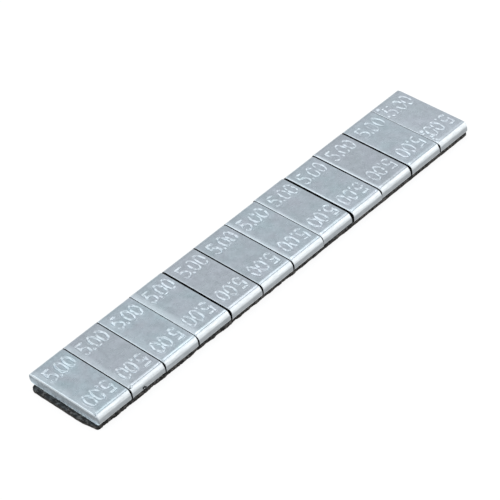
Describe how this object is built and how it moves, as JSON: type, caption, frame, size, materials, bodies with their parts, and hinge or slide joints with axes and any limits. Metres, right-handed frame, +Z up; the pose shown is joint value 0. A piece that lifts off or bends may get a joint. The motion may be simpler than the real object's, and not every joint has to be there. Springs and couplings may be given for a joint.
{
  "type": "wheel balance weight",
  "caption": "Stick-on wheel balance weight: a row of zinc-plated steel segments with round sides, bonded to one strip of black foam tape with a release liner underneath.",
  "frame": {"origin": "middle of the underside, on the face of the release liner", "axes": "+X along the strip from its near end to its far end, +Y across the strip, +Z up through the stamped faces of the segments"},
  "size_m": [0.1204, 0.0223, 0.0041],
  "materials": {
    "zinc_plated_steel": "bright zinc plate, satin, faintly blue, with soft mottling and brighter rubbed edges",
    "black_foam": "matt black closed-cell foam with a rough cut edge",
    "liner_film": "thin dark film, slightly glossy"
  },
  "bodies": {
    "root": {"weight_segment_01": "zinc_plated_steel", "weight_segment_02": "zinc_plated_steel", "weight_segment_03": "zinc_plated_steel", "weight_segment_04": "zinc_plated_steel", "weight_segment_05": "zinc_plated_steel", "weight_segment_06": "zinc_plated_steel", "weight_segment_07": "zinc_plated_steel", "weight_segment_08": "zinc_plated_steel", "weight_segment_09": "zinc_plated_steel", "weight_segment_10": "zinc_plated_steel", "weight_segment_11": "zinc_plated_steel", "weight_segment_12": "zinc_plated_steel", "foam_tape": "black_foam", "release_liner": "liner_film"}
  },
  "joints": []
}
